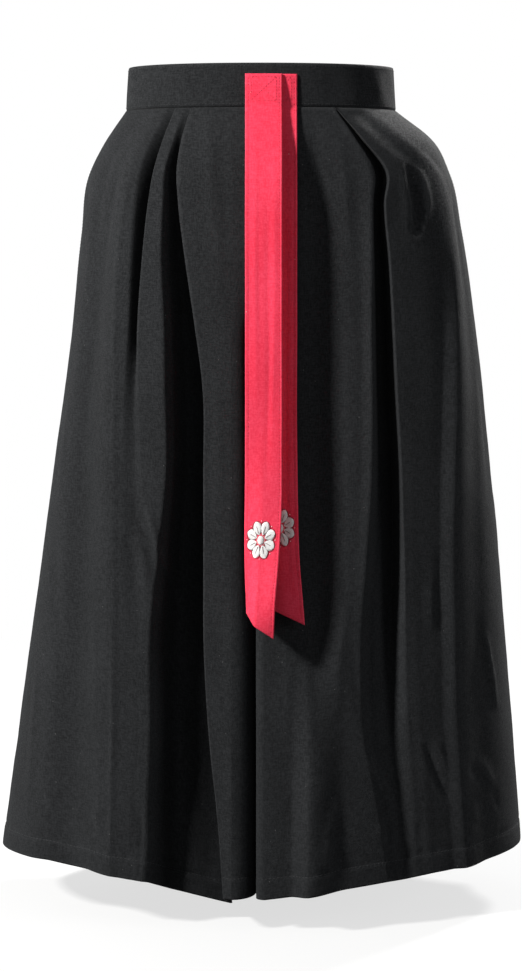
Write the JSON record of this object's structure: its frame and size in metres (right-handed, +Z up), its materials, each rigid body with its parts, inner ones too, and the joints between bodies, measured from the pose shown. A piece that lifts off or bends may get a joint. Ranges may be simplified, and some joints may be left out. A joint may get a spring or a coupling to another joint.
{
  "type": "wide-leg trousers",
  "caption": "Very wide, skirt-like pull-on trousers in worn, hollow form, with flat waistband front, gathered back and two long ties hanging at centre front.",
  "frame": {"origin": "middle of the waist opening, halfway up the waistband, where the wearer's waist holds the trousers", "axes": "+Z up the standing wearer's body, -Y out of the front, +X towards the wearer's left"},
  "size_m": [0.632, 0.4013, 0.9615],
  "materials": {
    "black_cloth": "matt plain-woven cotton and linen, faint slub",
    "pocket_lining": "thin plain cotton, matt",
    "red_cloth": "plain-woven cotton, matt, with an off-white embroidered rosette near each free end"
  },
  "bodies": {
    "root": {"front_right": "black_cloth", "front_left": "black_cloth", "back_right": "black_cloth", "back_left": "black_cloth", "waistband_front": "black_cloth", "waistband_back": "black_cloth", "pocket_bag_right": "pocket_lining", "pocket_bag_left": "pocket_lining", "tie_under": "red_cloth", "tie_over": "red_cloth"}
  },
  "joints": []
}
